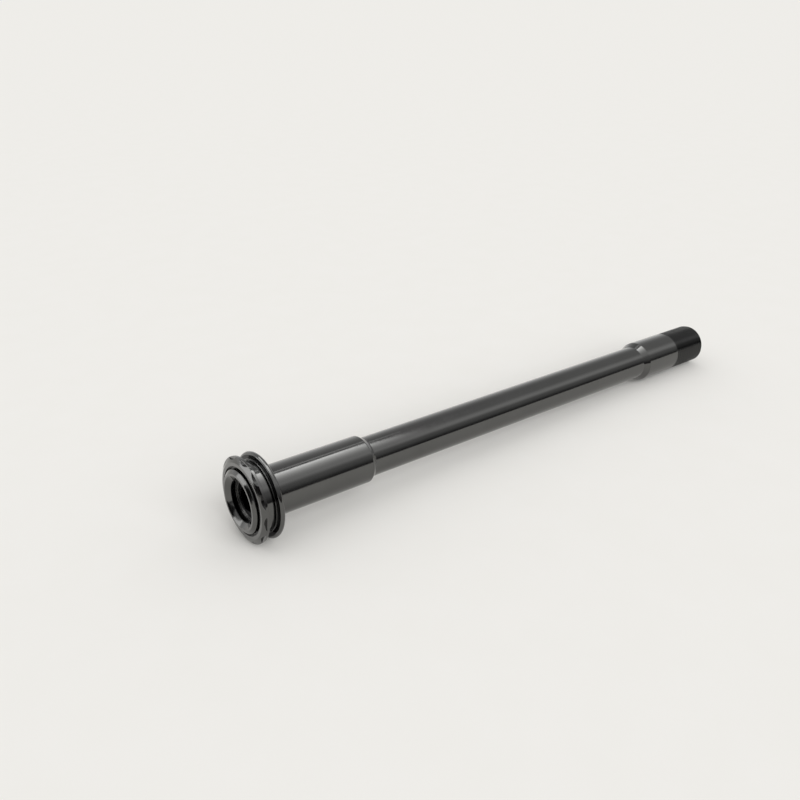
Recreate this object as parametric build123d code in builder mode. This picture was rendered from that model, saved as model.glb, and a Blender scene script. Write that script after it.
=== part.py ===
"""Bicycle thru axle for a 12 mm rear frame end, with a fluted head and a captive flange washer.

The axis lies along X. The origin is on the axis, in the plane of the washer's seat face.
The head is on the -X side and the threaded tail is on the +X side. All sizes are in millimetres.
"""

import math
import os

from build123d import *

os.makedirs("parts", exist_ok=True)

# Lengths along the axle, from the washer's seat face to the tail
grip_length = 164.0
sleeve_length = 27.1
sleeve_taper = 1.45
stub_taper = 2.0
stub_length = 14.0
runout_length = 0.7
thread_length = 14.0

# Diameters along the axle
sleeve_dia = 12.0
shaft_dia = 10.0
stub_dia = 12.0
thread_dia = 11.86
tail_chamfer = 0.8
shoulder_radius = 0.4
edge_reach = 0.01

# Flange washer and the groove that keeps it under the head
washer_inset = 0.05
washer_thickness = 1.3
hub_dia = 17.3
hub_height = 0.2
groove_depth = 0.2
washer_clearance = 0.08
washer_float = 0.05
bore_chamfer = 0.3

# Neck and fluted ring
neck_dia = 16.8
neck_length = 2.52
neck_chamfer = 0.2
ring_dia = 20.7
ring_rim = 0.6
bevel_length = 0.68
bevel_height = 1.3
lip_width = 0.85
flute_count = 12
flute_depth = 0.78
flute_radius = 3.3
flute_angle = 5.5

# Boss and the face groove around it
face_groove_width = 0.63
face_groove_depth = 0.65
boss_rise = 0.95
boss_bevel_length = 0.6
boss_bevel_width = 0.8
boss_land = 0.5

# Stepped hexagon socket in the boss
mouth_depth = 1.1
counterbore_dia = 10.2
counterbore_depth = 2.1
step_dia = 9.5
step_depth = 0.35
hex_size = 6.0
hex_depth = 6.0
hex_angle = 51.75
pilot_allowance = 0.4
pilot_depth = 1.0
drill_point_angle = 118.0

# Stations along X, worked out from the sizes above
neck_back = -(washer_thickness + hub_height + washer_float)
ring_back = neck_back - neck_length
rim_front = ring_back - ring_rim
ring_front = rim_front - bevel_length
boss_front = ring_front - boss_rise
face_groove_floor = ring_front + face_groove_depth
sleeve_start = -washer_float
shaft_start = sleeve_length + sleeve_taper
thread_start = grip_length - thread_length
stub_end = thread_start - runout_length
stub_start = stub_end - stub_length
shaft_end = stub_start - stub_taper

# Radii that follow from the sizes above
washer_dia = ring_dia - 2 * washer_inset
groove_radius = sleeve_dia / 2 - groove_depth
washer_bore_radius = groove_radius + washer_clearance
ring_front_radius = ring_dia / 2 - bevel_height
face_groove_radius = ring_front_radius - lip_width
boss_radius = face_groove_radius - face_groove_width
crest_radius = boss_radius - boss_bevel_width
mouth_radius = crest_radius - boss_land

# Axle bolt: one bar, turned to this half outline about X
with BuildPart() as axle_bolt:
    with BuildSketch(Plane.XY) as bar_section:
        with BuildLine() as bar_outline:
            Polyline(
                (boss_front, 0),
                (boss_front, crest_radius),
                (boss_front + boss_bevel_length, boss_radius),
                (face_groove_floor, boss_radius),
                (face_groove_floor, face_groove_radius),
                (ring_front, face_groove_radius),
                (ring_front, ring_front_radius),
                (rim_front, ring_dia / 2),
                (ring_back, ring_dia / 2),
                (ring_back, neck_dia / 2),
                (neck_back - neck_chamfer, neck_dia / 2),
                (neck_back, neck_dia / 2 - neck_chamfer),
                (neck_back, groove_radius),
                (sleeve_start, groove_radius),
                (sleeve_start, sleeve_dia / 2),
                (sleeve_length, sleeve_dia / 2),
                (shaft_start, shaft_dia / 2),
                (shaft_end, shaft_dia / 2),
                (stub_start, stub_dia / 2),
                (stub_end, stub_dia / 2),
                (thread_start, thread_dia / 2),
                (grip_length - tail_chamfer, thread_dia / 2),
                (grip_length, thread_dia / 2 - tail_chamfer),
                (grip_length, 0),
                close=True,
            )
        make_face()
    revolve(axis=Axis.X)

    # Rounded shoulders at both ends of the relieved shaft
    for shoulder in (sleeve_length, stub_start):
        round_edges = axle_bolt.edges().filter_by(GeomType.CIRCLE)
        corner = round_edges.filter_by_position(Axis.X, shoulder - edge_reach, shoulder + edge_reach)
        fillet(corner, radius=shoulder_radius)

    # Flutes milled into the bevel of the ring, down to the full rim at its back
    flute_plane = Plane(origin=(rim_front, 0, 0), x_dir=(0, 1, 0), z_dir=(-1, 0, 0))
    with BuildSketch(flute_plane) as flutes:
        flute_centre = ring_dia / 2 + flute_radius - flute_depth
        with PolarLocations(flute_centre, flute_count, start_angle=-flute_angle):
            Circle(flute_radius)
    extrude(amount=rim_front - ring_front, mode=Mode.SUBTRACT)

    # Turned mouth of the socket: a wide countersink, a counterbore and a small step
    counterbore_floor = boss_front + counterbore_depth
    hex_mouth = counterbore_floor + step_depth
    with BuildSketch(Plane.XY) as mouth_section:
        with BuildLine() as mouth_outline:
            Polyline(
                (boss_front, 0),
                (boss_front, mouth_radius),
                (boss_front + mouth_depth, counterbore_dia / 2),
                (counterbore_floor, counterbore_dia / 2),
                (counterbore_floor, step_dia / 2),
                (hex_mouth, step_dia / 2),
                (hex_mouth, 0),
                close=True,
            )
        make_face()
    revolve(axis=Axis.X, mode=Mode.SUBTRACT)

    # Hexagon for the key
    hex_plane = Plane(origin=(hex_mouth, 0, 0), x_dir=(0, 1, 0), z_dir=(1, 0, 0))
    with BuildSketch(hex_plane) as hexagon:
        RegularPolygon(hex_size / 2, 6, major_radius=False, rotation=hex_angle)
    extrude(amount=hex_depth, mode=Mode.SUBTRACT)

    # Pilot hole left below the hexagon, with its drill point
    hex_floor = hex_mouth + hex_depth
    pilot_radius = (hex_size - pilot_allowance) / 2
    drill_point = pilot_radius / math.tan(math.radians(drill_point_angle / 2))
    with BuildSketch(Plane.XY) as pilot_section:
        with BuildLine() as pilot_outline:
            Polyline(
                (hex_mouth, 0),
                (hex_mouth, pilot_radius),
                (hex_floor + pilot_depth, pilot_radius),
                (hex_floor + pilot_depth + drill_point, 0),
                close=True,
            )
        make_face()
    revolve(axis=Axis.X, mode=Mode.SUBTRACT)

# Flange washer: a round-rimmed disc with a low hub towards the neck, bored to turn in the groove
with BuildPart() as flange_washer:
    rim_centre = washer_dia / 2 - washer_thickness / 2
    with BuildSketch(Plane.XY) as washer_section:
        with BuildLine() as washer_outline:
            Polyline(
                (0, rim_centre),
                (0, washer_bore_radius + bore_chamfer),
                (-bore_chamfer, washer_bore_radius),
                (-washer_thickness - hub_height, washer_bore_radius),
                (-washer_thickness - hub_height, hub_dia / 2),
                (-washer_thickness, hub_dia / 2),
                (-washer_thickness, rim_centre),
            )
            ThreePointArc(
                (-washer_thickness, rim_centre),
                (-washer_thickness / 2, washer_dia / 2),
                (0, rim_centre),
            )
        make_face()
    revolve(axis=Axis.X)

axle_bolt.part.label = "axle_bolt"
flange_washer.part.label = "flange_washer"
export_step(axle_bolt.part, "parts/axle_bolt.step")
export_step(flange_washer.part, "parts/flange_washer.step")
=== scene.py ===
"""Bicycle thru axle: the turned black bar with its cut thread, the flange washer and a plain studio."""

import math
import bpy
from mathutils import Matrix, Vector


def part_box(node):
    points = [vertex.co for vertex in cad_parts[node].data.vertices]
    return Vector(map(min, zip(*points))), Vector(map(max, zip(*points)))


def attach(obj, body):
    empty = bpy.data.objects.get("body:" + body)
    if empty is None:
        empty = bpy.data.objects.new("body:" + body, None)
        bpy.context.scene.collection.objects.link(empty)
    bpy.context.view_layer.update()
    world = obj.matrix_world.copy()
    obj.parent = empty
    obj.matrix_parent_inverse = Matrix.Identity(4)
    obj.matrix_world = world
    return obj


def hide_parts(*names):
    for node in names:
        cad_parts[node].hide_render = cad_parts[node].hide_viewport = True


bl_info = {
    "name": "Bicycle Thru Axle",
    "version": (1, 0, 0),
    "blender": (4, 5, 0),
    "location": "View3D > Sidebar > Thru Axle",
    "description": "Models a black anodised thru axle with its flange washer, and the studio it is shown in",
    "category": "Add Mesh",
}

import bpy
from mathutils import Euler, Matrix, Vector

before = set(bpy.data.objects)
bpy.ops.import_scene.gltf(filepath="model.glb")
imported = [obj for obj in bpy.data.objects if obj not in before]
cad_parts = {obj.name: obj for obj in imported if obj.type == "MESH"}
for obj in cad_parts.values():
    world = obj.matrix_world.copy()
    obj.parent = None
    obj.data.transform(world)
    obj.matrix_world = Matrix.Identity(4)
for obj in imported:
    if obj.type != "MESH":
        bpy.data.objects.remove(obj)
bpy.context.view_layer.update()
bar_low, bar_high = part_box("axle_bolt")
washer_low, washer_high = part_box("flange_washer")

MM = 0.001
X_AXIS = (1, 0, 0)
AXIS_ALONG_X = Euler((0, math.pi / 2, 0))

# How finely the shapes are made, with lengths in metres
TURN_STEPS = 192                # flats around a turned surface
FLUTE_SIDES = 96                # flats around the cutter of a flute
HEX_SIDES = 6
ARC_STEP = math.radians(15)     # turn of one segment of a rounded corner
ARC_FEWEST = 2                  # segments that every rounded corner has
WELD = 2e-7                     # spun points that are this near each other are one
ON_PLANE = 2e-8                 # points that are this near a cutting plane lie on it
SLIVER = 2e-6                   # edges shorter than this, which a cut leaves, are merged away
SHARP = math.radians(28)        # edges that turn more than this stay crisp

# The thread's form, and roundings that follow other sizes
FLAT_SHARE = 1 / 8              # width of the flat crests and roots, in pitches
CREST_SPARE = 1 / 8             # what the helix has over its crests for the blank to trim, in depths
TAIL_SPARE = 1 / 3              # what the helix has past the tail for the blank to trim, in pitches
LEAD_TURNS = 2                  # spare turns of the helix at each end, before it is cut to length
CORE_SUNK = 1.2                 # from the crests down to the bar's core, inside the thread's root, in depths
TAIL_ROUND = 1 / 4              # rounding of both edges of the tail's chamfer, in chamfers
RIM_ROUND = 0.999               # rounding of the washer's rim, in half thicknesses, so its arcs just miss

# The metal's finish
FACE_FEED = 0.6                 # turning marks along a radius of a face, against one along the axis
MARK_DETAIL = 1.0               # layers of finer marks among the turning marks
SMUDGE_DETAIL = 4.0             # layers of finer smudges
SMUDGE_BREAKUP = 0.6            # strength of each finer layer, against the one before
SMUDGE_LOW = 0.3                # the smudges' noise mostly lies between these two
SMUDGE_HIGH = 0.7
# The front faces get a paler film by the X of their normal: a painted highlight
HIGHLIGHT_FROM = -0.93              # X of the normal where the painted highlight of the front faces begins
HIGHLIGHT_FULL = -0.99              # X of the normal where it is full

# The stage, with lengths in metres
FLOOR_RADIUS = 40.0
FLOOR_SIDES = 128
PAPER_ROUGHNESS = 0.9
TENT_RADIUS = 1.5
TENT_SEGMENTS = 96
TENT_RINGS = 48
# How light the tent is, by the angle about X in degrees: 0 is behind the axle, 90 above, 180 in front
TENT_GLOW = ((0, 0.95), (60, 0.45), (100, 0.5), (127, 0.9), (148, 0.35), (180, 0.04))
CARD_FALL = 2.5                 # power of a card's fall from its light edge to its dim one
LAMP_AWAY = 0.5                 # from the axle to the long lamp and to the strip beside it
LAMP_FROM = math.radians(82)    # the lamp's far and near edges, as angles about X
LAMP_TO = math.radians(131)
LAMP_SPAN = (-0.35, 0.375)      # the lamp's ends along X
LAMP_SLANT = math.radians(6)    # the lamp's turn about Z, out of line with the axle
STRIP_FROM = math.radians(68)   # the strip's far and near edges, as angles about X
STRIP_TO = math.radians(72)
FRONT_RAISE = math.radians(35)  # the front lamp's height over the horizon
FRONT_SPREAD = math.radians(45)   # how wide the front lamp looks from the axle
PANEL_PLACE = (-0.15, 0.25, 0.5)
PANEL_SIZE = (0.5, 0.45)
WINDOW_AWAY = 1.0               # the window and the flag stand this far from the origin
FLAG_AWAY = 0.1
WINDOW_TURN = math.radians(33)  # and this far round from -X towards +Y
FLAG_TURN = math.radians(2.3)
WINDOW_SIZE = (0.65, 0.5)       # with this width and height
FLAG_SIZE = (0.052, 0.05)
FLAG_GLOW = 0.02


def length(label, text, mm):
    """A size in the panel, given in millimetres and kept in metres."""
    return bpy.props.FloatProperty(name=label, description=text, default=mm * MM, unit="LENGTH", precision=5)


def angle(label, text, degrees):
    """An angle in the panel, given in degrees."""
    return bpy.props.FloatProperty(name=label, description=text, default=math.radians(degrees),
                                   subtype="ANGLE")


def level(label, text, value):
    """How strong a light is, or how light a thing on the stage looks, in the panel."""
    return bpy.props.FloatProperty(name=label, description=text, default=value, min=0)


def share(label, text, value):
    """A number from 0 to 1 in the panel, such as a roughness."""
    return bpy.props.FloatProperty(name=label, description=text, default=value, min=0, max=1,
                                   subtype="FACTOR")


def linear(code):
    """An sRGB hex colour such as #1A2B3C as linear red, green, blue and an alpha of 1."""
    parts = [int(code[i:i + 2], 16) / 255 for i in (1, 3, 5)]
    return [c / 12.92 if c <= 0.04045 else ((c + 0.055) / 1.055) ** 2.4 for c in parts] + [1.0]


def colour(label, text, code):
    """A colour in the panel, given as sRGB hex and kept linear."""
    return bpy.props.FloatVectorProperty(name=label, description=text, default=linear(code), size=4,
                                         subtype="COLOR", min=0, max=1)


class BarSizes(bpy.types.PropertyGroup):
    """Sizes of the turned bar behind the head, with x measured from the washer's seat face."""

    grip: length("Grip", "Seat face to the end of the tail", bar_high.x / MM)
    sleeve_end: length("Sleeve", "Length of the full-width sleeve", 27.1)
    sleeve_taper: length("Sleeve taper", "Length of the cone from the sleeve down to the shaft", 1.45)
    stub_start: length("Stub start", "Where the full-width stub begins", 135.3)
    stub_taper: length("Stub taper", "Length of the cone from the shaft up to the stub", 2.0)
    stub_end: length("Stub end", "Where the stub gives way to the thread", 149.3)
    runout: length("Run-out", "Length over which the thread fades into the stub", 0.7)
    full_radius: length("Full radius", "Radius of the sleeve and the stub", 6.0)
    shaft_radius: length("Shaft radius", "Radius of the relieved shaft", 5.0)
    shoulder: length("Shoulder rounding", "Rounding of the edges beside the two cones", 0.4)
    fillet: length("Root fillet", "Small fillet where a cone meets the shaft", 0.3)
    thread_radius: length("Thread radius", "Radius at the crests of the thread", 5.93)
    thread_pitch: length("Thread pitch", "Distance from one crest to the next", 1.0)
    thread_depth: length("Thread depth", "Depth of the thread from crest to root", 0.55)
    tail_chamfer: length("Tail chamfer", "Chamfer on the end of the thread", 0.8)


class HeadSizes(bpy.types.PropertyGroup):
    """Sizes of the fluted head and its stepped hexagon socket."""

    front: length("Head front", "Front of the boss, in front of the seat face", bar_low.x / MM)
    crest_radius: length("Crest radius", "Radius of the boss's flat crest", 6.77)
    crest_edge: length("Crest edge", "Rounding of the crest's two edges", 0.12)
    boss_radius: length("Boss radius", "Radius of the boss around the socket", 7.57)
    boss_bevel: length("Boss bevel", "Length of the boss's bevel along the axis", 0.6)
    boss_rise: length("Boss rise", "How far the boss stands in front of the ring", 0.95)
    groove_width: length("Groove width", "Width of the groove between boss and ring", 0.63)
    groove_depth: length("Groove depth", "Depth of the groove between boss and ring", 0.65)
    lip_radius: length("Lip radius", "Outer radius of the ring's flat lip", 9.05)
    lip_edge: length("Lip edge", "Rounding of the lip's outer edge", 0.15)
    ring_radius: length("Ring radius", "Outer radius of the fluted ring", -bar_low.y / MM)
    bevel_length: length("Bevel length", "Length of the ring's bevel along the axis", 0.68)
    rim: length("Rim", "Thickness of the full rim behind the flutes", 0.6)
    neck_radius: length("Neck radius", "Radius of the neck between ring and washer", 8.4)
    neck_chamfer: length("Neck chamfer", "Chamfer of the neck's edge next to the washer", 0.2)
    neck_back: length("Neck back", "Where the neck ends, next to the washer", -1.55)
    groove_radius: length("Washer groove", "Radius of the groove that the washer turns in", 5.8)
    sleeve_start: length("Sleeve start", "Where the sleeve begins, inside the washer's chamfer", -0.05)
    edge: length("Broken edge", "Rounding of the small turned edges", 0.07)
    flute_radius: length("Flute radius", "Radius of the milled flutes", 3.3)
    flute_depth: length("Flute depth", "Depth of the flutes in the bevel", 0.78)
    flute_angle: angle("Flute angle", "Turn of the first flute from +Y", 5.5)
    flute_count: bpy.props.IntProperty(name="Flutes", description="Flutes around the ring", default=12,
                                       min=3, subtype="UNSIGNED")
    mouth_radius: length("Mouth radius", "Radius of the countersink at the front", 6.27)
    mouth_depth: length("Mouth depth", "Depth of the countersink", 1.1)
    bore_radius: length("Counterbore radius", "Radius of the counterbore", 5.1)
    bore_depth: length("Counterbore depth", "Depth of the counterbore", 2.1)
    step_radius: length("Step radius", "Radius of the small step around the hexagon", 4.75)
    step_depth: length("Step depth", "Depth of the small step", 0.35)
    hex_size: length("Hexagon", "Hexagon's size across its flats", 6.0)
    hex_depth: length("Hexagon depth", "Depth of the hexagon", 6.0)
    hex_angle: angle("Hexagon angle", "Turn of one hexagon corner from +Y", 51.75)


class WasherSizes(bpy.types.PropertyGroup):
    """Sizes of the flange washer."""

    radius: length("Washer radius", "Outer radius of the washer", washer_high.y / MM)
    thickness: length("Thickness", "Thickness at the round rim", 1.3)
    hub_front: length("Hub front", "Front face of the low hub", washer_low.x / MM)
    hub_radius: length("Hub radius", "Radius of the low hub that meets the neck", 8.65)
    bore_radius: length("Bore radius", "Radius of the bore", 5.88)
    bore_chamfer: length("Bore chamfer", "Chamfer of the bore at the seat face", 0.3)
    edge: length("Washer edge", "Rounding of the hub's edge", 0.05)


class FinishSettings(bpy.types.PropertyGroup):
    """Colours and finish of the metal, with its painted highlight and painted shade."""

    film: colour("Anodised film", "Colour of the black film where it is sealed", "#5C5C5B")
    film_thin: colour("Thin film", "Colour of the black film where it took less dye", "#656564")
    # Painted highlight: the paler film of the faces whose normal points along -X
    film_painted_highlight: colour("Rubbed film", "Colour of the film on the rubbed front faces", "#787878")
    # Painted shade: the near-black film of the recesses, the bore wall and the thread
    film_painted_shade: colour("Dull film", "Colour of the film where polishing didn't reach", "#1C1C1D")
    # Width over which the painted shade fades out
    painted_shade_fade: length("Dull edge", "Width over which the dull film gives way to the polished one", 0.1)
    # Share of the unshaded film that the thread keeps under its painted shade
    thread_unshaded: share("Thread polish", "How much of the polished film's colour the cut thread keeps", 0.35)
    gloss: share("Roughness", "Roughness of the sealed film", 0.1)
    gloss_spread: share("Roughness spread", "How much smudges change the roughness", 0.05)
    feed: length("Feed", "Spacing of the turning marks, coarser than the real feed so that it shows", 0.35)
    mark_depth: length("Mark depth", "Depth of the turning marks", 0.006)
    smudge: length("Smudge size", "Size of the handling smudges", 9.0)


class StageSettings(bpy.types.PropertyGroup):
    """The floor, the lights and the camera."""

    floor: colour("Floor", "Colour of the pale floor", "#F0EFEC")
    floor_mottle: colour("Floor mottle", "Colour of the floor's faint mottle", "#EEEDE9")
    mottle: length("Mottle size", "Size of the floor's faint mottle", 12.0)
    sky: colour("Room", "Colour of the soft light all around", "#FDFCFB")
    sky_strength: level("Room strength", "Strength of the soft light all around", 0.75)
    backdrop: level("Backdrop", "How light the room looks behind the floor", 0.86)
    tent: level("Tent", "How light the mirrored tent is", 1.1)
    lamp_far: level("Lamp, far edge", "How light the lamp's mirrored face is at its far edge", 5.2)
    lamp_near: level("Lamp, near edge", "How light the lamp's mirrored face is at its near edge", 0.9)
    window: level("Window", "How light the mirrored window beside the head is", 2.6)
    panel: level("Ceiling panel", "How light the mirrored panel over the head is", 3.4)
    lamp_strip: level("Lamp strip", "How light the mirrored strip beside the lamp is", 1.6)
    front_light: level("Front light", "Strength of the soft lamp in front", 1.42)
    camera_place: bpy.props.FloatVectorProperty(
        name="Camera", description="Place of the camera", size=3, subtype="TRANSLATION",
        default=(-75.7 * MM, -143.14 * MM, 99.22 * MM))
    camera_heading: angle("Heading", "Turn of the camera from +Y towards +X", 38.2)
    camera_pitch: angle("Pitch", "How far the camera looks down at the floor", 26.17)
    lens: bpy.props.FloatProperty(name="Lens", description="Focal length on a 36 mm sensor",
                                  default=36.95, unit="CAMERA")


def select_only(piece):
    """Leaves one object selected and active."""
    bpy.ops.object.select_all(action="DESELECT")
    piece.select_set(True)
    bpy.context.view_layer.objects.active = piece


def soften(corners):
    """Outline points from corners of (x, distance from the axis, rounding), with each rounding as an arc."""
    points = []
    for i, (x, r, rounding) in enumerate(corners):
        corner = Vector((x, r))
        if not rounding:
            points.append(corner)
            continue
        to_last = (Vector(corners[i - 1][:2]) - corner).normalized()
        to_next = (Vector(corners[(i + 1) % len(corners)][:2]) - corner).normalized()
        half = to_last.angle(to_next) / 2
        middle = (to_last + to_next).normalized()
        centre = corner + middle * rounding / math.sin(half)
        first = (corner + to_last * rounding / math.tan(half) - centre).normalized()
        last = (corner + to_next * rounding / math.tan(half) - centre).normalized()
        steps = max(ARC_FEWEST, math.ceil((math.pi - 2 * half) / ARC_STEP))
        points += [centre + first.slerp(last, k / steps) * rounding for k in range(steps + 1)]
    return points


def draw_outline(name, points):
    """A new object with the outline as a chain of edges in the XY plane, left in edit mode."""
    bpy.ops.object.select_all(action="DESELECT")
    bpy.ops.mesh.primitive_plane_add(size=MM)
    piece = bpy.context.object
    piece.name = piece.data.name = name
    bpy.ops.object.mode_set(mode="EDIT")
    bpy.ops.mesh.select_mode(type="VERT")
    bpy.ops.mesh.select_all(action="SELECT")
    bpy.ops.mesh.merge(type="CENTER")
    bpy.ops.transform.translate(value=points[0].to_3d())
    for here, there in zip(points, points[1:]):
        bpy.ops.mesh.extrude_region_move(TRANSFORM_OT_translate={"value": (there - here).to_3d()})
    return piece


def turn(name, points):
    """A solid turned about X from an outline that starts and ends on the axis, or that closes on itself."""
    piece = draw_outline(name, points)
    bpy.ops.mesh.select_all(action="SELECT")
    bpy.ops.mesh.spin(steps=TURN_STEPS, angle=2 * math.pi, center=(0, 0, 0), axis=X_AXIS)
    bpy.ops.mesh.select_all(action="SELECT")
    bpy.ops.mesh.remove_doubles(threshold=WELD)
    bpy.ops.mesh.normals_make_consistent(inside=False)
    bpy.ops.object.mode_set(mode="OBJECT")
    return piece


def combine(piece, tool, operation):
    """Cuts the tool from the piece, joins it or keeps what both share, and removes the tool."""
    select_only(piece)
    bpy.ops.object.modifier_add(type="BOOLEAN")
    step = piece.modifiers[-1]
    step.operation = operation
    step.solver = "EXACT"
    step.object = tool
    bpy.ops.object.modifier_apply(modifier=step.name)
    bpy.data.objects.remove(tool)


def finish_piece(piece, body, node, material):
    """Smooths the piece, gives it its material, ties it to its body and hides the CAD part that it replaces.

    The shading follows the large faces, so a long plain stretch stays straight up to its rounded edges.
    """
    if not piece.data.polygons:
        raise RuntimeError(f"{piece.name} came out empty")
    select_only(piece)
    bpy.ops.object.transform_apply(location=True, rotation=True, scale=True)
    bpy.ops.object.mode_set(mode="EDIT")
    bpy.ops.mesh.select_all(action="SELECT")
    bpy.ops.mesh.remove_doubles(threshold=SLIVER)
    bpy.ops.mesh.dissolve_degenerate(threshold=SLIVER)
    bpy.ops.object.mode_set(mode="OBJECT")
    bpy.ops.object.shade_smooth_by_angle(angle=SHARP)
    bpy.ops.object.modifier_add(type="WEIGHTED_NORMAL")
    flatten = piece.modifiers[-1]
    flatten.keep_sharp = True
    bpy.ops.object.modifier_apply(modifier=flatten.name)
    piece.data.materials.clear()
    piece.data.materials.append(material)
    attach(piece, body)
    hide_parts(node)


def add_node(tree, kind, inputs=None, **settings):
    """One node with its settings, and its inputs as values or as sockets to link from."""
    new = tree.nodes.new(kind)
    for name, value in settings.items():
        setattr(new, name, value)
    for name, value in (inputs or {}).items():
        if isinstance(value, bpy.types.NodeSocket):
            tree.links.new(value, new.inputs[name])
        else:
            new.inputs[name].default_value = value
    return new


def new_tree(owner):
    """The empty node tree of a material or a world."""
    owner.use_nodes = True
    owner.node_tree.nodes.clear()
    return owner.node_tree


def unshaded_share(tree, axes, radius, settings, painted_shade_from, painted_shade_to, cut_from, bore_radius):
    """How far the film is free of painted shade, from 0 to 1.

    Painted shade darkens the places between the radii painted_shade_from and painted_shade_to, and the wall
    of the bore in the head.
    Past cut_from along X the thread was cut, and painted shade darkens it too, so it keeps only a part of
    the unshaded film.
    """
    fade = settings.painted_shade_fade
    # Painted shade on the band between the two radii
    inside = add_node(tree, "ShaderNodeMapRange",
                      {"Value": radius, "From Min": painted_shade_from, "From Max": painted_shade_from - fade})
    outside = add_node(tree, "ShaderNodeMapRange",
                       {"Value": radius, "From Min": painted_shade_to, "From Max": painted_shade_to + fade})
    smooth = add_node(tree, "ShaderNodeMath", {0: inside.outputs["Result"], 1: outside.outputs["Result"]},
                      operation="ADD")
    # Painted shade on the wall of the bore, ahead of the seat face
    wall = add_node(tree, "ShaderNodeMath", {0: radius, 1: bore_radius, 2: fade}, operation="COMPARE")
    ahead = add_node(tree, "ShaderNodeMapRange", {"Value": axes["X"], "From Min": fade, "From Max": 0.0})
    on_wall = add_node(tree, "ShaderNodeMath", {0: wall.outputs[0], 1: ahead.outputs["Result"]},
                       operation="MULTIPLY")
    outside_shade = add_node(tree, "ShaderNodeMath", {0: smooth.outputs[0], 1: on_wall.outputs[0]},
                       operation="SUBTRACT", use_clamp=True)
    # Painted shade on the thread past cut_from
    uncut = add_node(tree, "ShaderNodeMapRange",
                     {"Value": axes["X"], "From Min": cut_from, "From Max": cut_from - fade,
                      "To Min": settings.thread_unshaded})
    return add_node(tree, "ShaderNodeMath", {0: outside_shade.outputs[0], 1: uncut.outputs["Result"]},
                    operation="MULTIPLY").outputs[0]


def black_anodised(name, settings, painted_shade_from, painted_shade_to, cut_from, bore_radius):
    """Turned aluminium, dyed black and sealed.

    The sealed film is dark and glossy and mirrors the room at about a tenth of its light, without colour.
    Fine turning marks run round the axis, as rings on the faces, and handling leaves faint smudges.
    The film is paler on the front faces, a painted highlight, and darker where unshaded_share puts painted
    shade.
    """
    material = bpy.data.materials.new(name)
    tree = new_tree(material)
    place = add_node(tree, "ShaderNodeTexCoord").outputs["Object"]
    axes = add_node(tree, "ShaderNodeSeparateXYZ", {0: place}).outputs
    across = add_node(tree, "ShaderNodeCombineXYZ", {"Y": axes["Y"], "Z": axes["Z"]})
    from_axis = add_node(tree, "ShaderNodeVectorMath", {0: across.outputs[0]}, operation="LENGTH")
    radius = from_axis.outputs["Value"]
    path = add_node(tree, "ShaderNodeMath", {0: radius, 1: FACE_FEED, 2: axes["X"]},
                    operation="MULTIPLY_ADD")
    marks = add_node(tree, "ShaderNodeTexNoise",
                     {"W": path.outputs[0], "Scale": 1 / settings.feed, "Detail": MARK_DETAIL},
                     noise_dimensions="1D")
    bump = add_node(tree, "ShaderNodeBump",
                    {"Height": marks.outputs["Fac"], "Strength": 1.0, "Distance": settings.mark_depth})
    smudges = add_node(tree, "ShaderNodeTexNoise",
                       {"Vector": place, "Scale": 1 / settings.smudge, "Detail": SMUDGE_DETAIL,
                        "Roughness": SMUDGE_BREAKUP})
    gloss = add_node(tree, "ShaderNodeMapRange",
                     {"Value": smudges.outputs["Fac"], "From Min": SMUDGE_LOW, "From Max": SMUDGE_HIGH,
                      "To Min": settings.gloss, "To Max": settings.gloss + settings.gloss_spread})
    film = add_node(tree, "ShaderNodeMix",
                    {"Factor": smudges.outputs["Fac"], "A": settings.film, "B": settings.film_thin},
                    data_type="RGBA")
    normal = add_node(tree, "ShaderNodeNewGeometry").outputs["Normal"]
    facing = add_node(tree, "ShaderNodeSeparateXYZ", {0: normal})
    # Painted highlight: faces whose normal points along -X get the paler film
    front = add_node(tree, "ShaderNodeMapRange",
                     {"Value": facing.outputs["X"], "From Min": HIGHLIGHT_FROM, "From Max": HIGHLIGHT_FULL})
    highlighted = add_node(tree, "ShaderNodeMix",
                      {"Factor": front.outputs["Result"], "A": film.outputs["Result"],
                       "B": settings.film_painted_highlight}, data_type="RGBA")
    # Painted shade: the near-black film in the recesses, on the bore wall and on the thread
    unshaded = unshaded_share(tree, axes, radius, settings, painted_shade_from, painted_shade_to, cut_from, bore_radius)
    dyed = add_node(tree, "ShaderNodeMix",
                    {"Factor": unshaded, "A": settings.film_painted_shade, "B": highlighted.outputs["Result"]},
                    data_type="RGBA")
    shader = add_node(tree, "ShaderNodeBsdfPrincipled",
                      {"Base Color": dyed.outputs["Result"], "Roughness": gloss.outputs["Result"],
                       "Normal": bump.outputs["Normal"], "Metallic": 1.0})
    add_node(tree, "ShaderNodeOutputMaterial", {"Surface": shader.outputs["BSDF"]})
    return material


def head_outline(head):
    """Corners of the head from the socket's step, round the boss and the ring, to the washer's groove."""
    ring_front = head.front + head.boss_rise
    rim_front = ring_front + head.bevel_length
    ring_back = rim_front + head.rim
    groove_floor = ring_front + head.groove_depth
    groove_radius = head.boss_radius + head.groove_width
    bore_floor = head.front + head.bore_depth
    hex_mouth = bore_floor + head.step_depth
    edge = head.edge
    return [
        (hex_mouth, 0, 0),
        (hex_mouth, head.step_radius, edge),
        (bore_floor, head.step_radius, edge),
        (bore_floor, head.bore_radius, edge),
        (head.front + head.mouth_depth, head.bore_radius, edge),
        (head.front, head.mouth_radius, head.crest_edge),
        (head.front, head.crest_radius, head.crest_edge),
        (head.front + head.boss_bevel, head.boss_radius, edge),
        (groove_floor, head.boss_radius, edge),
        (groove_floor, groove_radius, edge),
        (ring_front, groove_radius, edge),
        (ring_front, head.lip_radius, head.lip_edge),
        (rim_front, head.ring_radius, edge),
        (ring_back, head.ring_radius, edge),
        (ring_back, head.neck_radius, edge),
        (head.neck_back - head.neck_chamfer, head.neck_radius, edge),
        (head.neck_back, head.neck_radius - head.neck_chamfer, 0),
        (head.neck_back, head.groove_radius, 0),
        (head.sleeve_start, head.groove_radius, 0),
    ]


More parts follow.
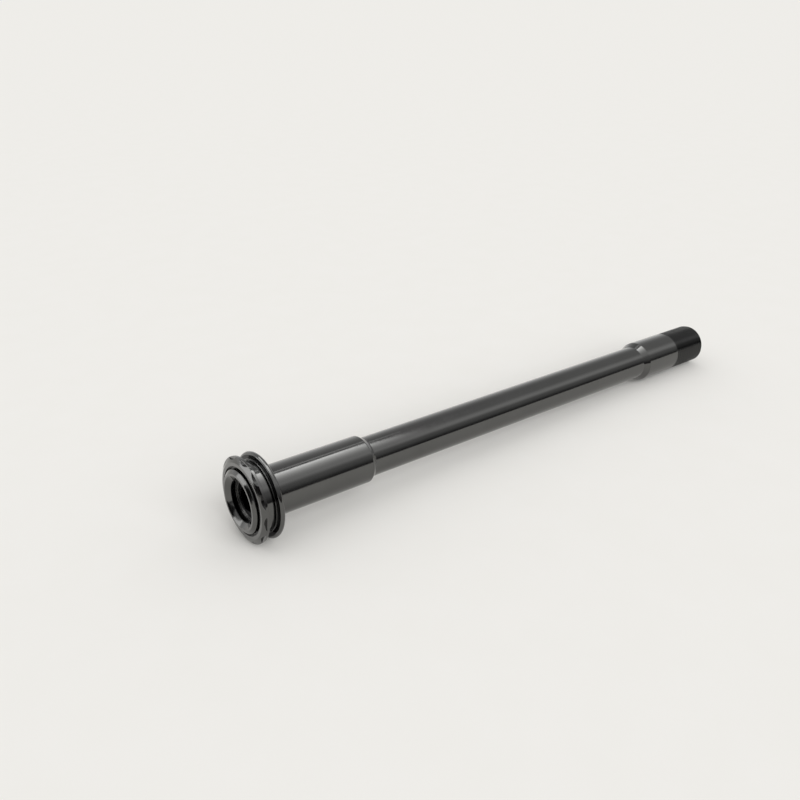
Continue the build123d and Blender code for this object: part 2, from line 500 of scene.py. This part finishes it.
def bar_outline(bar, head):
    """Corners of the bar from the sleeve to the core, which ends inside the thread."""
    core = bar.thread_radius - CORE_SUNK * bar.thread_depth
    core_end = bar.grip - bar.tail_chamfer - bar.thread_pitch
    return [
        (head.sleeve_start, bar.full_radius, head.edge),
        (bar.sleeve_end, bar.full_radius, bar.shoulder),
        (bar.sleeve_end + bar.sleeve_taper, bar.shaft_radius, bar.fillet),
        (bar.stub_start - bar.stub_taper, bar.shaft_radius, bar.fillet),
        (bar.stub_start, bar.full_radius, bar.shoulder),
        (bar.stub_end, bar.full_radius, 0),
        (bar.stub_end + bar.runout + bar.thread_pitch, core, 0),
        (core_end, core, 0),
        (core_end, 0, 0),
    ]


def threaded_tail(bar):
    """The right-hand thread with flat crests and roots, trimmed by the chamfered blank it was cut in."""
    pitch = bar.thread_pitch
    flat = FLAT_SHARE * pitch
    root = bar.thread_radius - bar.thread_depth
    crest = bar.thread_radius + CREST_SPARE * bar.thread_depth
    start = bar.stub_end - pitch / 2
    first = start - LEAD_TURNS * pitch
    middle = first + pitch / 2
    rod = draw_outline("thread", [
        Vector((first, root)),
        Vector((first + flat, root)),
        Vector((middle, crest)),
        Vector((middle + flat, crest)),
        Vector((first + pitch, root)),
    ])
    bpy.ops.object.mode_set(mode="OBJECT")
    bpy.ops.object.modifier_add(type="SCREW")
    helix = rod.modifiers[-1]
    helix.axis = "X"
    helix.steps = helix.render_steps = TURN_STEPS
    helix.screw_offset = pitch
    helix.iterations = math.ceil((bar.grip - first) / pitch) + LEAD_TURNS
    helix.use_merge_vertices = True
    helix.merge_threshold = WELD
    bpy.ops.object.modifier_apply(modifier=helix.name)
    bpy.ops.object.mode_set(mode="EDIT")
    bpy.ops.mesh.select_all(action="SELECT")
    bpy.ops.mesh.remove_doubles(threshold=WELD)
    for place, inner in ((start, True), (bar.grip + TAIL_SPARE * pitch, False)):
        bpy.ops.mesh.select_all(action="SELECT")
        bpy.ops.mesh.bisect(plane_co=(place, 0, 0), plane_no=X_AXIS, use_fill=True, threshold=ON_PLANE,
                            clear_inner=inner, clear_outer=not inner)
    bpy.ops.mesh.select_all(action="SELECT")
    bpy.ops.mesh.normals_make_consistent(inside=False)
    bpy.ops.object.mode_set(mode="OBJECT")
    rounding = TAIL_ROUND * bar.tail_chamfer
    blank = turn("blank", soften([
        (start - pitch, 0, 0),
        (start - pitch, bar.thread_radius, 0),
        (bar.grip - bar.tail_chamfer, bar.thread_radius, rounding),
        (bar.grip, bar.thread_radius - bar.tail_chamfer, rounding),
        (bar.grip, 0, 0),
    ]))
    combine(rod, blank, "INTERSECT")
    return rod


def flute_cutters(head):
    """The round cutters of the flutes, in front of the ring's full rim."""
    rim_front = head.front + head.boss_rise + head.bevel_length
    reach = rim_front - head.front
    middle = (rim_front + head.front) / 2
    away = head.ring_radius + head.flute_radius - head.flute_depth
    bpy.ops.object.select_all(action="DESELECT")
    bpy.ops.mesh.primitive_cylinder_add(vertices=FLUTE_SIDES, radius=head.flute_radius, depth=reach,
                                        rotation=AXIS_ALONG_X)
    cutter = bpy.context.object
    bpy.ops.object.transform_apply(location=False, rotation=True, scale=False)
    copies = [cutter]
    while len(copies) < head.flute_count:
        bpy.ops.object.duplicate(linked=False)
        copies.append(bpy.context.object)
    for k, copy in enumerate(copies):
        turned = head.flute_angle + 2 * math.pi * k / head.flute_count
        copy.location = (middle, away * math.cos(turned), away * math.sin(turned))
        copy.select_set(True)
    bpy.ops.object.join()
    bpy.ops.object.transform_apply(location=True, rotation=True, scale=True)
    return bpy.context.object


def hex_cutter(head):
    """The broach for the socket: a hexagon prism that stands out of the mouth as far as it reaches in."""
    corner = head.hex_size / 2 / math.cos(math.pi / HEX_SIDES)
    mouth = head.front + head.bore_depth + head.step_depth
    bpy.ops.object.select_all(action="DESELECT")
    bpy.ops.mesh.primitive_cylinder_add(vertices=HEX_SIDES, radius=corner, depth=2 * head.hex_depth,
                                        location=(mouth, 0, 0), rotation=AXIS_ALONG_X)
    cutter = bpy.context.object
    bpy.ops.object.transform_apply(location=True, rotation=True, scale=True)
    first = cutter.data.vertices[0].co
    cutter.rotation_euler.x = head.hex_angle - math.atan2(first.z, first.y)
    bpy.ops.object.transform_apply(location=True, rotation=True, scale=True)
    return cutter


class THRUAXLE_OT_axle_bolt(bpy.types.Operator):
    """Model the bar: turned, fluted, broached and threaded"""

    bl_idname = "thru_axle.axle_bolt"
    bl_label = "Axle Bolt"

    def execute(self, context):
        bar = context.scene.thru_axle_bar
        head = context.scene.thru_axle_head
        finish = context.scene.thru_axle_finish
        piece = turn("thru_axle_bolt", soften(head_outline(head) + bar_outline(bar, head)))
        combine(piece, flute_cutters(head), "DIFFERENCE")
        combine(piece, hex_cutter(head), "DIFFERENCE")
        combine(piece, threaded_tail(bar), "UNION")
        groove_radius = head.boss_radius + head.groove_width
        # Painted shade in the groove between boss and ring, on the bore wall and on the thread
        material = black_anodised("anodised_aluminium_black_turned", finish,
                                  painted_shade_from=head.boss_radius + finish.painted_shade_fade,
                                  painted_shade_to=groove_radius - finish.painted_shade_fade,
                                  cut_from=bar.stub_end + bar.runout, bore_radius=head.bore_radius)
        finish_piece(piece, "axle", "axle_bolt", material)
        return {"FINISHED"}


class THRUAXLE_OT_flange_washer(bpy.types.Operator):
    """Model the round-rimmed washer that turns under the head"""

    bl_idname = "thru_axle.flange_washer"
    bl_label = "Flange Washer"

    def execute(self, context):
        sizes = context.scene.thru_axle_washer
        finish = context.scene.thru_axle_finish
        rim = sizes.thickness / 2
        rounding = RIM_ROUND * rim
        outline = soften([
            (0, sizes.bore_radius + sizes.bore_chamfer, 0),
            (-sizes.bore_chamfer, sizes.bore_radius, 0),
            (sizes.hub_front, sizes.bore_radius, 0),
            (sizes.hub_front, sizes.hub_radius, sizes.edge),
            (-sizes.thickness, sizes.hub_radius, sizes.edge),
            (-sizes.thickness, sizes.radius, rounding),
            (0, sizes.radius, rounding),
        ])
        piece = turn("thru_axle_washer", outline + outline[:1])
        # Painted shade darkens the washer's face between the hub and the rim. The washer has no thread and
        # no bore with a shaded wall, so the last two lie outside it
        material = black_anodised("anodised_aluminium_black_faced", finish,
                                  painted_shade_from=sizes.hub_radius + sizes.edge + finish.painted_shade_fade,
                                  painted_shade_to=sizes.radius - rim,
                                  cut_from=sizes.thickness, bore_radius=0.0)
        finish_piece(piece, "washer", "flange_washer", material)
        return {"FINISHED"}


def lay_floor(stage, bar, washer):
    """The floor that the axle lies on, tangent to the washer's rim and the tail. Gives its turn about Y."""
    tail = bar.grip - bar.tail_chamfer
    rim = -washer.thickness / 2
    slope = math.atan2(washer.radius - bar.thread_radius, tail - rim)
    floor_turn = Matrix.Rotation(-slope, 3, "Y")
    bpy.ops.object.select_all(action="DESELECT")
    bpy.ops.mesh.primitive_circle_add(vertices=FLOOR_SIDES, radius=FLOOR_RADIUS, fill_type="NGON")
    floor = bpy.context.object
    floor.name = "floor"
    floor.rotation_euler = floor_turn.to_euler()
    floor.location = (rim, 0, -washer.radius / math.cos(slope))
    # Uncoated white paper scatters light evenly, so it shows no mirror image, only a faint mottle
    material = bpy.data.materials.new("paper_white_matt")
    tree = new_tree(material)
    place = add_node(tree, "ShaderNodeTexCoord").outputs["Object"]
    mottle = add_node(tree, "ShaderNodeTexNoise", {"Vector": place, "Scale": 1 / stage.mottle})
    paper = add_node(tree, "ShaderNodeMix",
                     {"Factor": mottle.outputs["Fac"], "A": stage.floor, "B": stage.floor_mottle},
                     data_type="RGBA")
    shader = add_node(tree, "ShaderNodeBsdfPrincipled",
                      {"Base Color": paper.outputs["Result"], "Roughness": PAPER_ROUGHNESS,
                       "Specular IOR Level": 0.0})
    add_node(tree, "ShaderNodeOutputMaterial", {"Surface": shader.outputs["BSDF"]})
    floor.data.materials.append(material)
    return floor_turn


def light_room(scene, stage):
    """Soft pale light from all around, which the camera and mirrors see as pale as the floor."""
    scene.world = bpy.data.worlds.new("pale_room")
    tree = new_tree(scene.world)
    rays = add_node(tree, "ShaderNodeLightPath").outputs
    mirrored = add_node(tree, "ShaderNodeMath", {0: rays["Is Glossy Ray"], 1: rays["Is Transmission Ray"]},
                        operation="ADD")
    seen = add_node(tree, "ShaderNodeMath", {0: rays["Is Camera Ray"], 1: mirrored.outputs[0]},
                    operation="ADD")
    strength = add_node(tree, "ShaderNodeMapRange", {"Value": seen.outputs[0], "To Min": stage.sky_strength,
                                                     "To Max": stage.backdrop})
    light = add_node(tree, "ShaderNodeBackground",
                     {"Color": stage.sky, "Strength": strength.outputs["Result"]})
    add_node(tree, "ShaderNodeOutputWorld", {"Surface": light.outputs["Background"]})


def mirrored_only(thing, glow_of):
    """Makes a stage object glow for the metal to mirror, as strong as glow_of gives it.

    The camera doesn't see it and it lights nothing else, so the floor and the background stay plain.
    """
    material = bpy.data.materials.new(thing.name + "_glow")
    tree = new_tree(material)
    place = add_node(tree, "ShaderNodeTexCoord").outputs["Object"]
    axes = add_node(tree, "ShaderNodeSeparateXYZ", {0: place}).outputs
    shader = add_node(tree, "ShaderNodeEmission", {"Strength": glow_of(tree, axes)})
    add_node(tree, "ShaderNodeOutputMaterial", {"Surface": shader.outputs["Emission"]})
    thing.data.materials.append(material)
    thing.visible_camera = thing.visible_diffuse = thing.visible_shadow = False


def pitch_tent(stage):
    """A round tent over the stage: pale behind, grey above, a soft band, then dark on the camera's side."""
    bpy.ops.object.select_all(action="DESELECT")
    bpy.ops.mesh.primitive_uv_sphere_add(segments=TENT_SEGMENTS, ring_count=TENT_RINGS, radius=TENT_RADIUS)
    tent = bpy.context.object
    tent.name = "tent"

    def glow_of(tree, axes):
        turned = add_node(tree, "ShaderNodeMath", {0: axes["Z"], 1: axes["Y"]}, operation="ARCTAN2")
        half_turn = add_node(tree, "ShaderNodeMath", {0: turned.outputs[0], 1: math.pi}, operation="DIVIDE")
        ramp = add_node(tree, "ShaderNodeValToRGB", {"Fac": half_turn.outputs[0]})
        ramp.color_ramp.interpolation = "EASE"
        stops = ramp.color_ramp.elements
        while len(stops) < len(TENT_GLOW):
            stops.new(1.0)
        for stop, (degrees, glow) in zip(stops, TENT_GLOW):
            stop.position = math.radians(degrees) / math.pi
            stop.color = (glow, glow, glow, 1)
        return add_node(tree, "ShaderNodeMath", {0: ramp.outputs["Color"], 1: stage.tent},
                        operation="MULTIPLY").outputs[0]

    mirrored_only(tent, glow_of)


def hang_card(name, place, turned, size, glow_from, glow_to):
    """A flat card for the metal to mirror, which glows from one value down to the other along its own Y."""
    bpy.ops.object.select_all(action="DESELECT")
    bpy.ops.mesh.primitive_plane_add(size=1, location=place, rotation=turned)
    card = bpy.context.object
    card.name = name
    card.scale = (size[0], size[1], 1)
    bpy.ops.object.transform_apply(location=False, rotation=False, scale=True)

    def glow_of(tree, axes):
        if glow_from == glow_to:
            return glow_from
        across = add_node(tree, "ShaderNodeMapRange",
                          {"Value": axes["Y"], "From Min": size[1] / 2, "From Max": -size[1] / 2})
        fall = add_node(tree, "ShaderNodeMath", {0: across.outputs["Result"], 1: CARD_FALL},
                        operation="POWER")
        return add_node(tree, "ShaderNodeMath", {0: fall.outputs[0], 1: glow_from - glow_to, 2: glow_to},
                        operation="MULTIPLY_ADD").outputs[0]

    mirrored_only(card, glow_of)


def hang_lamp(stage):
    """The long lamp over the axle with its graded face, and the narrow strip beside it."""
    span = LAMP_SPAN[1] - LAMP_SPAN[0]
    for name, start, end, width, glow_from, glow_to in (
            ("lamp_face", LAMP_FROM, LAMP_TO, 2 * LAMP_AWAY * math.tan((LAMP_TO - LAMP_FROM) / 2),
             stage.lamp_far, stage.lamp_near),
            ("lamp_strip", STRIP_FROM, STRIP_TO, LAMP_AWAY * (STRIP_TO - STRIP_FROM),
             stage.lamp_strip, stage.lamp_strip)):
        turned = (start + end) / 2
        place = (sum(LAMP_SPAN) / 2, LAMP_AWAY * math.cos(turned), LAMP_AWAY * math.sin(turned))
        hang_card(name, place, (turned + math.pi / 2, 0, LAMP_SLANT), (span, width), glow_from, glow_to)


def light_front(stage):
    """A broad soft lamp in front, which lights the floor and isn't mirrored."""
    bpy.ops.object.light_add(type="SUN", rotation=(math.pi / 2 - FRONT_RAISE, 0, 0))
    lamp = bpy.context.object
    lamp.name = "front_lamp"
    lamp.data.angle = FRONT_SPREAD
    lamp.data.energy = stage.front_light
    lamp.visible_glossy = False


def hang_around_head(stage):
    """The panel over the head, and the window beside it and the dark flag before it, both on the floor."""
    hang_card("ceiling_panel", PANEL_PLACE, (0, 0, 0), PANEL_SIZE, stage.panel, stage.panel)
    for name, turned, away, size, glow in (
            ("side_window", WINDOW_TURN, WINDOW_AWAY, WINDOW_SIZE, stage.window),
            ("dark_flag", FLAG_TURN, FLAG_AWAY, FLAG_SIZE, FLAG_GLOW)):
        place = Vector((-math.cos(turned), math.sin(turned), 0)) * away
        place.z = size[1] / 2 - washer_high.y
        hang_card(name, place, (math.pi / 2, 0, math.pi / 2 - turned), size, glow, glow)


def place_camera(scene, stage, floor_turn):
    """The camera, level with the floor and turned and tipped by the panel's heading and pitch."""
    camera = bpy.data.objects.new("camera", bpy.data.cameras.new("camera"))
    scene.collection.objects.link(camera)
    camera.data.lens = stage.lens
    camera.data.clip_start = MM
    heading = Matrix.Rotation(-stage.camera_heading, 3, "Z")
    pitch = Matrix.Rotation(math.pi / 2 - stage.camera_pitch, 3, "X")
    camera.rotation_euler = (floor_turn @ heading @ pitch).to_euler()
    camera.location = stage.camera_place
    scene.camera = camera


class THRUAXLE_OT_stage(bpy.types.Operator):
    """Set up the pale floor, the soft light and the camera"""

    bl_idname = "thru_axle.stage"
    bl_label = "Stage"

    def execute(self, context):
        scene = context.scene
        scene.view_settings.view_transform = "Standard"
        stage = scene.thru_axle_stage
        floor_turn = lay_floor(stage, scene.thru_axle_bar, scene.thru_axle_washer)
        light_room(scene, stage)
        pitch_tent(stage)
        hang_lamp(stage)
        light_front(stage)
        hang_around_head(stage)
        place_camera(scene, stage, floor_turn)
        return {"FINISHED"}


class THRUAXLE_PT_panel(bpy.types.Panel):
    """The thru axle's steps and sizes in the 3D view's sidebar"""

    bl_label = "Thru Axle"
    bl_idname = "THRUAXLE_PT_panel"
    bl_space_type = "VIEW_3D"
    bl_region_type = "UI"
    bl_category = "Thru Axle"

    def draw(self, context):
        layout = self.layout
        for step in STEPS:
            layout.operator(step.bl_idname)
        for name, group in GROUPS.items():
            box = layout.box()
            settings = getattr(context.scene, name)
            for size in group.__annotations__:
                box.prop(settings, size)


GROUPS = {
    "thru_axle_bar": BarSizes,
    "thru_axle_head": HeadSizes,
    "thru_axle_washer": WasherSizes,
    "thru_axle_finish": FinishSettings,
    "thru_axle_stage": StageSettings,
}
STEPS = (THRUAXLE_OT_axle_bolt, THRUAXLE_OT_flange_washer, THRUAXLE_OT_stage)


def register():
    """Registers the settings, the steps and the panel."""
    for name, group in GROUPS.items():
        bpy.utils.register_class(group)
        setattr(bpy.types.Scene, name, bpy.props.PointerProperty(type=group))
    for step in STEPS:
        bpy.utils.register_class(step)
    bpy.utils.register_class(THRUAXLE_PT_panel)


def unregister():
    """Takes away what register added."""
    bpy.utils.unregister_class(THRUAXLE_PT_panel)
    for step in reversed(STEPS):
        bpy.utils.unregister_class(step)
    for name, group in GROUPS.items():
        delattr(bpy.types.Scene, name)
        bpy.utils.unregister_class(group)


def main():
    """Runs every step in order."""
    register()
    bpy.ops.thru_axle.axle_bolt()
    bpy.ops.thru_axle.flange_washer()
    bpy.ops.thru_axle.stage()


if __name__ == "__main__":
    main()
